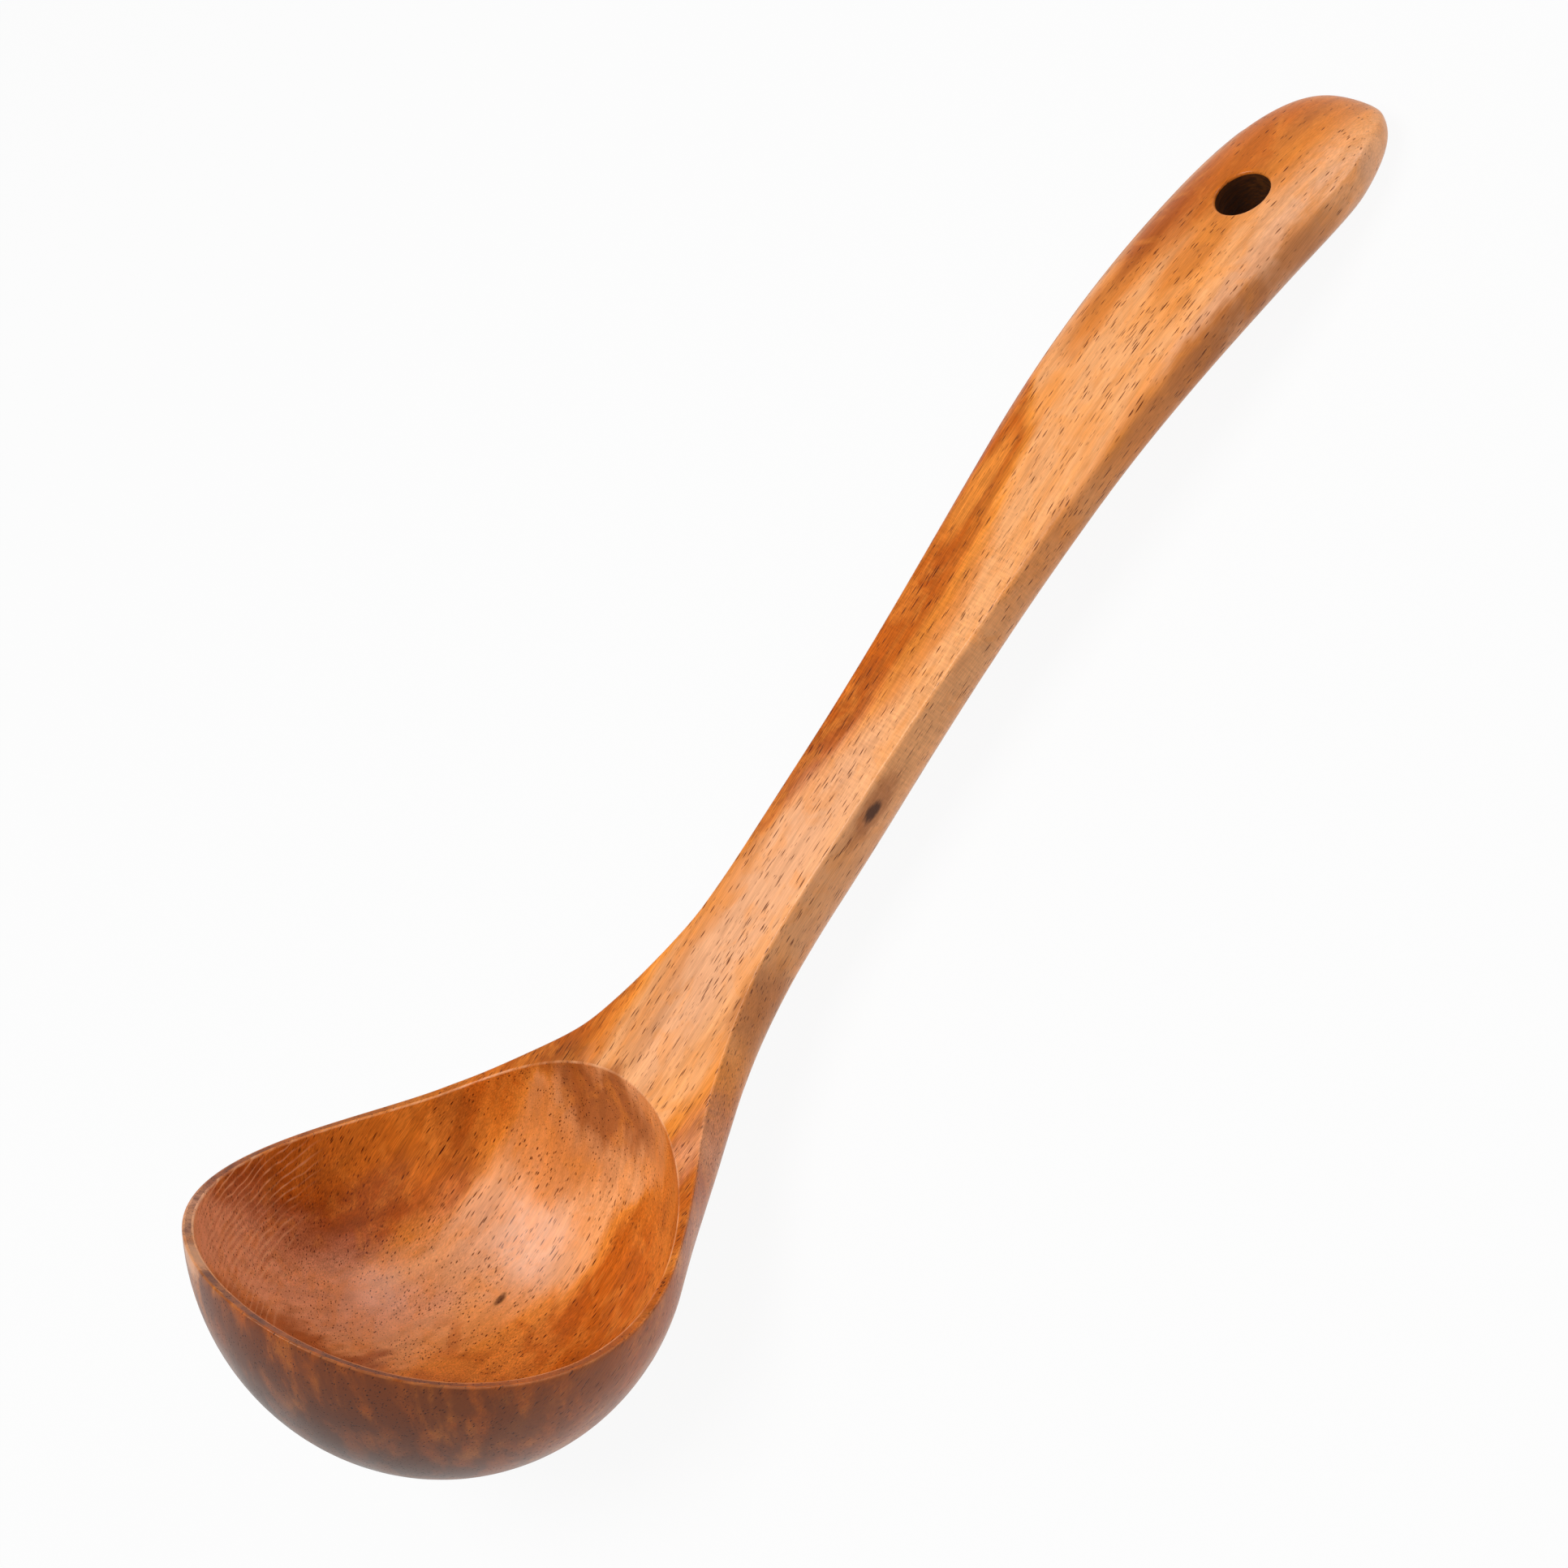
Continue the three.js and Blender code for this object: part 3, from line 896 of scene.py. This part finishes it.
# Its figure, in millimetres of the finished ladle: x along the grain, y across it, z up
wood = {
    # each noise: its cell, and its detail, roughness and distortion where they aren't the usual ones
    "usual": (2.0, 0.55, 0.0),
    "noise": {
        "poreWander": ((22, 9, 9), 1.0, 0.5), "ragged": ((2.0, 0.5, 0.5),),
        "stray": ((24, 8, 24), 4.0, 0.6), "bands": ((90, 3.2, 7), 2.0, 0.5),
        "mottle": ((11, 4.5, 5), 4.0, 0.62, 0.4), "cloud": ((8, 5.5, 5.5), 4.0, 0.6, 0.6),
        "rings": ((34, 1.3, 3.5), 2.0, 0.5), "fibre": ((5.0, 0.22, 0.22), 2.0, 0.6),
        "ripple": ((0.42, 3.5, 3.5), 1.0, 0.5), "outside": ((17, 5.5, 5.5), 4.0, 0.6, 0.3),
        "crowd": ((26, 5, 6),), "waver": ((14, 14, 9),),
        "broken": ((6, 6, 3),), "wearAndSheen": ((9, 3, 3),),
        "smudge": ((30, 16, 16), 3.0), "boreMottle": ((3.0, 1.2, 0.5), 3.0),
    },
    # what is made of some of them: from low and high, to low and high
    "limits": {
        "mottle": (0.48, 0.72), "cloud": (0.47, 0.66), "outside": (0.42, 0.62),
        "rings": (0.30, 0.70, 0.90, 1.07), "fibre": (0.25, 0.75, -0.55, 0.45),
        "crowd": (0.38, 0.62, 0.35, 1.0), "broken": (0.35, 0.65, 0.2, 1.0), "wearAndSheen": (0.35, 0.65, 0.10, 0.55),
        "smudge": (0.3, 0.7, 0.30, 0.44),    # the lacquer's roughness
    },

    # each layer of pores: cell, width and depth
    "pores": (
        ((8.5, 0.72, 0.72), 0.23, 1.0),
        ((4.6, 0.62, 0.62), 0.25, 1.0),
        ((2.2, 0.40, 0.40), 0.27, 0.6),
    ),
    "poreStray": (0.0, 1.6, 1.6),
    "poreCore": 0.45,              # of a pore's width
    "poreLeast": 0.6,              # the faintest pore
    "poresThin": (96, 122, 1.0, 0.3),    # toward the handle's end

    # the pale sapwood lies between these two borders: x, then each border's y
    "sapwood": (
        (-150, 12, 29), (-125, 8, 29), (-104, 3, 29), (-92, 2, 28), (-80, -10, 22), (-66, -14, 13),
        (-50, -16, 11), (-40, -28, 10), (-28, -28, 10), (-15, -28, 4.0), (0, -28, 1.0), (40, -28, 0.2),
        (58, -28, 1.5), (68, -28, 7), (78, -28, 14), (150, -28, 14)),
    "sapwoodFade": 3.5,
    "sapwoodBands": 0.9,
    "goldAt": 0.45,                # between heartwood and sapwood
    "stray": (22, 8, 8),           # how far borders and stains wander

    # stains and streaks of this board, with painted highlights, a painted reflection and painted shade among
    # them: middle x and y, half-length and half-width, tone, share
    "stainsAndLight": (
        ((-30, -1), (52, 11.5), "pink", 0.65), ((-67, 15), (17, 5), "heart", 0.55),
        ((-56, 6), (18, 5), "umber", 0.30), ((-32, 8), (24, 4.5), "amber", 0.45),
        ((-12, 7.5), (12, 3.5), "heart", 0.55), ((5, 6.5), (17, 3.6), "deep", 0.60),
        ((31, 6.5), (14, 3.2), "deep", 0.40), ((26, -1.5), (26, 4.2), "amber", 0.72),
        ((52, 8.5), (16, 3.6), "gold", 0.75), ((56, 4), (18, 2.0), "amber", 0.65),
        ((72, 6), (9, 4), "gold", 0.55), ((96, 9), (22, 6.5), "amber", 0.85),
        ((98, -4), (16, 7), "gold", 0.60), ((106, -1.5), (15, 4.5), "amber", 0.70),
        ((132, 3), (36, 15), "amber", 0.95), ((128, 8), (30, 9), "heart", 0.70),
        # the pink at (128, -11) is a painted highlight on the near side of the handle's end
        ((128, -11), (21, 6), "pink", 0.40), ((136, 2), (10, 2.4), "umber", 0.40),
        ((109, 11), (17, 6), "deep", 0.75), ((-42, -13), (15, 4), "umber", 0.60),
        # the mauve at (-66, -19) is a painted highlight on the bowl's near side by the neck
        ((-66, -19), (18, 6), "mauve", 0.60), ((-22, -14), (10, 4), "gold", 0.60),
        # the umber at (100, -17) is painted shade along the lower part of the handle's near side
        ((20, -15.5), (140, 6), "amber", 0.65), ((100, -17), (40, 4.5), "umber", 0.60),
        # the pink at (112, -13.2) is a painted highlight along the ridge between the handle's top and its near
        # side; the pink at (-108, 18) is paler wood together with a painted highlight in the bowl's middle
        ((112, -13.2), (40, 1.9), "pink", 0.60), ((-108, 18), (18, 16), "pink", 0.70),
        ((-106, 37), (24, 7), "amber", 0.75), ((-117, 35), (11, 5), "deep", 0.60),
        ((-98, 32), (9, 5), "umber", 0.45), ((-86, 14), (7, 14), "umber", 0.35),
        ((-90, 20), (10, 15), "amber", 0.55), ((-76, 10), (9, 24), "umber", 0.85),
        ((-124, 6), (16, 14), "gold", 0.65), ((-113, -1), (2.4, 9), "heart", 0.55),
        ((-120, 2), (2.0, 9), "heart", 0.55), ((-128, 9), (2.2, 10), "heart", 0.45),
        ((-92, -11), (24, 13), "amber", 0.80), ((-100, -8), (18, 10), "heart", 0.85),
        # the mauve at (-131, 28) is a painted reflection: the lamp's bright gloss on the hollow's wall by the
        # lip, not wood colour
        ((-131, 28), (13, 15), "mauve", 0.95), ((-140, 17), (5, 11), "deep", 0.75),
        ((-124, 34), (7, 6), "deep", 0.55),
    ),
    "stainAndLightFade": (0.35, 1.0, 1.0, 0.0),

    "mottleShare": (0.40, 0.16),   # in heartwood and in sapwood
    "fibreShare": (0.52, 0.24),
    "cloudShare": 0.34,
    "ripple": {"share": 0.42, "start": (-20.0, 5.0), "stop": (35.0, 65.0, 1.0, 0.0)},
    # farEdgeShade is painted shade: from and to x along the bowl's outside, then how bright it is there
    "outside": {"turn": 50, "share": 0.45, "farEdgeShade": (-146, -124, 0.35, 1.0)},

    # marks: middle, size, tone, share
    "marks": (
        ((-6.0, -9.4, 19.8), (10.0, 4.0, 3.4), "umber", 0.6),      # the knot's halo
        ((-6.6, -9.4, 19.8), (3.0, 2.2, 1.7), "scorch", 0.92),     # the knot
        ((-117.7, 12.8, 9.0), (2.1, 0.75, 1.2), "scorch", 0.8),    # the fleck in the bowl
        ((-129.0, 8.0, 79.0), (3.0, 6.0, 4.0), "edge", 0.55),      # a lighter patch on the rim: wear, and a painted highlight
    ),
    "markRagged": 0.7,
    "markFade": (0.45, 1.05, 1.0, 0.0),

    # growth rings on the lip's end grain, and where they show
    "lipRings": {
        "spacing": 1.5, "across": (0.62, 0.10, 0.78), "waver": 4.5,
        "line": (0.55, 1.0), "lineShare": 0.80, "gap": (0.2, -0.8), "gapShare": 0.30,
        "shown": {"X": (-108, -118), "Y": (18, 27), "Z": (38, 46)},
    },
    "bend": {"start": 60.0, "radius": 430.0},      # the grain follows a little of the handle's end bend

    "gloss": 0.08,
    "glossTint": (1.0, 0.75, 0.50, 1),
    "coat": 0.28,
    "coatRoughness": 0.20,
    "coatTint": (1.0, 0.88, 0.72, 1),
    "poreRoughness": 0.2,
    "fibreHeight": 0.35,
    "bump": {"Strength": 0.35, "Distance": 0.00012},
}


# Noise by its name in the wood's values, about 0 to 1
def grainNoise(tree, place, name, output="Fac"):
    cell, *own = wood["noise"][name]
    detail, roughness, distortion = (*own, *wood["usual"][len(own):])
    scaled = vectorCalc(tree, 'DIVIDE', place, cell)
    return node(tree, "TexNoise", {"Vector": scaled, "Scale": 1.0, "Detail": detail, "Roughness": roughness,
                                   "Distortion": distortion}).outputs[output]


def easedNoise(tree, place, name):
    return ease(tree, grainNoise(tree, place, name), *wood["limits"][name])


# Noise that swings to both sides of zero
def swingNoise(tree, place, name, share):
    return times(tree, calc(tree, 'SUBTRACT', grainNoise(tree, place, name), 0.5), share)


# Groups take vectors and floats, and give what is named after them
def newGroup(name, vectors, floats=(), given=(("Mask", "Float"),)):
    tree = bpy.data.node_groups.new(name, 'ShaderNodeTree')
    for label in (*vectors, *floats):
        kind = "NodeSocketVector" if label in vectors else "NodeSocketFloat"
        tree.interface.new_socket(name=label, in_out='INPUT', socket_type=kind)
    for label, kind in given:
        tree.interface.new_socket(name=label, in_out='OUTPUT', socket_type="NodeSocket" + kind)
    return tree, tree.nodes.new("NodeGroupInput").outputs, tree.nodes.new("NodeGroupOutput")


# Open pores: thin spindles along the grain, dots where the grain is cut across
def poreGroup():
    tree, given, out = newGroup("pores", ("Place", "Cell"), ("Amount", "Width"))
    wander = grainNoise(tree, given["Place"], "poreWander", "Color")
    bent = vectorCalc(tree, 'ADD', given["Place"], vectorCalc(tree, 'MULTIPLY', wander, wood["poreStray"]))
    cells = node(tree, "TexVoronoi", {"Vector": vectorCalc(tree, 'DIVIDE', bent, given["Cell"]), "Scale": 1.0})
    chance = node(tree, "SeparateColor", {"Color": cells.outputs["Color"]}).outputs
    core = times(tree, given["Width"], wood["poreCore"])
    spindle = ease(tree, cells.outputs["Distance"], core, given["Width"], 1.0, 0.0)
    kept = calc(tree, 'LESS_THAN', chance["Red"], given["Amount"])
    depth = calc(tree, 'MULTIPLY_ADD', chance["Green"], 1 - wood["poreLeast"], wood["poreLeast"])
    fill(tree, out, {"Mask": times(tree, spindle, kept, depth)})
    return tree


# 1 in the middle of a mark, a stain or a patch of painted highlight or shade, 0 beyond its size
def spotGroup(name):
    tree, given, out = newGroup(name, ("Place", "Middle", "Size"))
    away = vectorCalc(tree, 'SUBTRACT', given["Place"], given["Middle"])
    if name == "stainAndLight":            # a stain soaks through the board's whole depth, and the painted highlights and shade among the stains ignore height too
        away = vectorCalc(tree, 'MULTIPLY', away, (1, 1, 0))
    length = vectorNode(tree, 'LENGTH', vectorCalc(tree, 'DIVIDE', away, given["Size"]))["Value"]
    if name == "mark":             # a knot or a fleck has a ragged edge
        length = calc(tree, 'ADD', length, swingNoise(tree, given["Place"], "ragged", wood["markRagged"]))
    fill(tree, out, {"Mask": ease(tree, length, *wood[name + "Fade"])})
    return tree


# A measure that changes along the ladle, from spots of x and value in millimetres
def alongLadle(tree, x, spots):
    reach, most = 150.0, 30.0
    item = node(tree, "FloatCurve", {"Value": ranged(tree, x, -reach, reach)})
    curve = item.mapping.curves[0]
    while len(curve.points) < len(spots):
        curve.points.new(0.5, 0.5)
    for point, (along, value) in zip(curve.points, spots):
        point.location = (along / reach / 2 + 0.5, value / most / 2 + 0.5)
    item.mapping.update()
    return ranged(tree, item.outputs["Value"], toLow=-most, toHigh=most)


def useGroup(tree, name, inputs):
    return node(tree, "Group", inputs, node_tree=groups[name]).outputs


# The sawn plank's colour, with its stains and the painted highlights, reflection and shade among them, before
# any pores
def plankGroup():
    tree, given, out = newGroup("plank", ("Place",), given=(("Color", "Color"), ("Fibre", "Float")))
    place = given["Place"]
    wander = vectorCalc(tree, 'SUBTRACT', grainNoise(tree, place, "stray", "Color"), (0.5, 0.5, 0.5))
    strayed = vectorCalc(tree, 'ADD', place, vectorCalc(tree, 'MULTIPLY', wander, wood["stray"]))
    axes = splitAxes(tree, strayed)
    low = alongLadle(tree, axes["X"], [(x, right) for x, right, left in wood["sapwood"]])
    high = alongLadle(tree, axes["X"], [(x, left) for x, right, left in wood["sapwood"]])
    below, above = calc(tree, 'SUBTRACT', high, axes["Y"]), calc(tree, 'SUBTRACT', axes["Y"], low)
    pale = ease(tree, calc(tree, 'MINIMUM', below, above), -wood["sapwoodFade"], wood["sapwoodFade"])
    pale = calc(tree, 'ADD', pale, swingNoise(tree, place, "bands", wood["sapwoodBands"]), clamp=True)
    shades = node(tree, "ValToRGB", {"Fac": pale})
    ramp = shades.color_ramp
    ramp.elements[0].color = tones["heart"]
    ramp.elements[1].color = tones["pale"]
    ramp.elements.new(wood["goldAt"]).color = tones["gold"]
    colour = shades.outputs["Color"]
    # the stains, and among them the painted highlights, reflection and shade
    for (x, y), (length, width), tone, share in wood["stainsAndLight"]:
        stainAndLight = {"Place": strayed, "Middle": (x, y, 0), "Size": (length, width, 1)}
        mask = useGroup(tree, "stainAndLight", stainAndLight)["Mask"]
        colour = blendColour(tree, times(tree, mask, share), colour, tones[tone])

    # clouds, growth rings, fibres, and the ripple across the handle's middle
    def inPale(shares):
        return ranged(tree, pale, toLow=shares[0], toHigh=shares[1])

    mottle = times(tree, easedNoise(tree, place, "mottle"), inPale(wood["mottleShare"]))
    colour = blendColour(tree, mottle, colour, tones["umber"])
    cloud = times(tree, easedNoise(tree, place, "cloud"), wood["cloudShare"])
    colour = blendColour(tree, cloud, colour, tones["gold"])
    fibre = grainNoise(tree, place, "fibre")
    swell = times(tree, ease(tree, fibre, *wood["limits"]["fibre"]), inPale(wood["fibreShare"]))
    light = times(tree, easedNoise(tree, place, "rings"), calc(tree, 'ADD', swell, 1.0))
    x = splitAxes(tree, place)["X"]
    ripple = wood["ripple"]
    rippled = times(tree, ease(tree, x, *ripple["start"]), ease(tree, x, *ripple["stop"]), ripple["share"])
    light = calc(tree, 'ADD', light, swingNoise(tree, place, "ripple", rippled))
    fill(tree, out, {"Color": brightened(tree, colour, light), "Fibre": fibre})
    return tree


groups = {"pores": poreGroup(), "mark": spotGroup("mark"), "stainAndLight": spotGroup("stainAndLight")}
groups["plank"] = plankGroup()


# Millimetres along the grain, which bends a little with the handle's end
def grainPlace(tree):
    spot = vectorCalc(tree, 'MULTIPLY', node(tree, "TexCoord").outputs["Object"], (1000, 1000, 1000))
    past = calc(tree, 'SUBTRACT', splitAxes(tree, spot)["X"], wood["bend"]["start"])
    past = calc(tree, 'MAXIMUM', past, 0.0)
    drop = calc(tree, 'DIVIDE', times(tree, past, past), 2 * wood["bend"]["radius"])
    return vectorCalc(tree, 'ADD', spot, node(tree, "CombineXYZ", {"Z": drop}).outputs["Vector"])


def region(tree, name):
    return node(tree, "Attribute", attribute_name=name).outputs["Fac"]


def lacqueredWood():
    material, tree, surface = newMaterial("lacqueredWood")
    place = grainPlace(tree)
    axes = splitAxes(tree, place)
    plank = useGroup(tree, "plank", {"Place": place})
    outside, edge = region(tree, "outside"), region(tree, "edge")

    # the bowl's outside kept the darker wood, in mottles that follow the bowl
    turn = math.radians(wood["outside"]["turn"])
    turned = node(tree, "VectorRotate", {"Vector": place, "Angle": turn}, rotation_type='Y_AXIS')
    mottle = easedNoise(tree, turned.outputs["Vector"], "outside")
    dark = blendColour(tree, mottle, tones["outside"], plank["Color"])
    dark = blendColour(tree, wood["outside"]["share"], dark, tones["outside"])
    # painted shade: the bowl's outside darkens toward the lip's far end, which faces away from the lamps
    dark = brightened(tree, dark, ease(tree, axes["X"], *wood["outside"]["farEdgeShade"]))
    colour = blendColour(tree, outside, plank["Color"], dark)

    crowd = times(tree, easedNoise(tree, place, "crowd"), ease(tree, axes["X"], *wood["poresThin"]))
    pores = None
    for cell, width, depth in wood["pores"]:
        layer = useGroup(tree, "pores", {"Place": place, "Cell": cell, "Amount": crowd, "Width": width})
        layer = times(tree, layer["Mask"], depth)
        pores = calc(tree, 'MAXIMUM', pores, layer) if pores else layer
    colour = blendColour(tree, pores, colour, tones["pore"], 'MULTIPLY')

    # growth rings where the lip's end grain shows
    rings = wood["lipRings"]
    waver = times(tree, grainNoise(tree, place, "waver"), rings["waver"])
    level = calc(tree, 'ADD', vectorNode(tree, 'DOT_PRODUCT', place, rings["across"])["Value"], waver)
    wave = calc(tree, 'SINE', times(tree, level, 2 * math.pi / rings["spacing"]))
    lip = times(tree, *(ease(tree, axes[axis], *limits) for axis, limits in rings["shown"].items()),
                calc(tree, 'SUBTRACT', 1.0, outside))
    broken = easedNoise(tree, place, "broken")
    for name, tone in (("gap", "deep"), ("line", "edge")):
        ring = times(tree, ease(tree, wave, *rings[name]), broken, lip, rings[name + "Share"])
        colour = blendColour(tree, ring, colour, tones[tone])

    for middle, size, tone, share in wood["marks"]:
        mark = useGroup(tree, "mark", {"Place": place, "Middle": middle, "Size": size})["Mask"]
        colour = blendColour(tree, times(tree, mark, share), colour, tones[tone])
    # lighter rounded edges of the rim and lip: wear, and a painted highlight where the bevels catch the light
    wornAndLit = times(tree, edge, easedNoise(tree, place, "wearAndSheen"))
    colour = blendColour(tree, wornAndLit, colour, tones["edge"])

    smudge = easedNoise(tree, place, "smudge")
    height = calc(tree, 'SUBTRACT', times(tree, plank["Fibre"], wood["fibreHeight"]), pores)
    fill(tree, surface, {
        "Base Color": colour,
        "Roughness": calc(tree, 'MULTIPLY_ADD', pores, wood["poreRoughness"], smudge),
        "Normal": node(tree, "Bump", {**wood["bump"], "Height": height}).outputs["Normal"],
        "Specular IOR Level": wood["gloss"],
        "Specular Tint": wood["glossTint"],
        "Coat Weight": wood["coat"],
        "Coat Tint": wood["coatTint"],
        "Coat Roughness": wood["coatRoughness"],
    })
    return material


# The drilled wall of the hanging hole, painted near black as the shade inside the hole
bore = {
    "boreShade": (0.30, 0.75, 0.97, 0.86),
    "roughness": (0.2, 0.8, 0.5, 0.75),
    "bump": {"Strength": 0.6, "Distance": 0.0002},
}


def boreWood():
    material, tree, surface = newMaterial("boreWood")
    place = grainPlace(tree)
    plank = useGroup(tree, "plank", {"Place": place})
    boreMottle = grainNoise(tree, place, "boreMottle")
    fill(tree, surface, {
        # painted shade: most of the hole's wall is blended to near black
        "Base Color": blendColour(tree, ease(tree, boreMottle, *bore["boreShade"]), plank["Color"], tones["bore"]),
        "Roughness": ease(tree, boreMottle, *bore["roughness"]),
        "Normal": node(tree, "Bump", {**bore["bump"], "Height": boreMottle}).outputs["Normal"],
        "Specular IOR Level": wood["gloss"],
    })
    return material


for finish in (lacqueredWood(), boreWood()):
    ladlePiece.data.materials.append(finish)
print("wood finished")

scene.view_settings.view_transform = 'Standard'
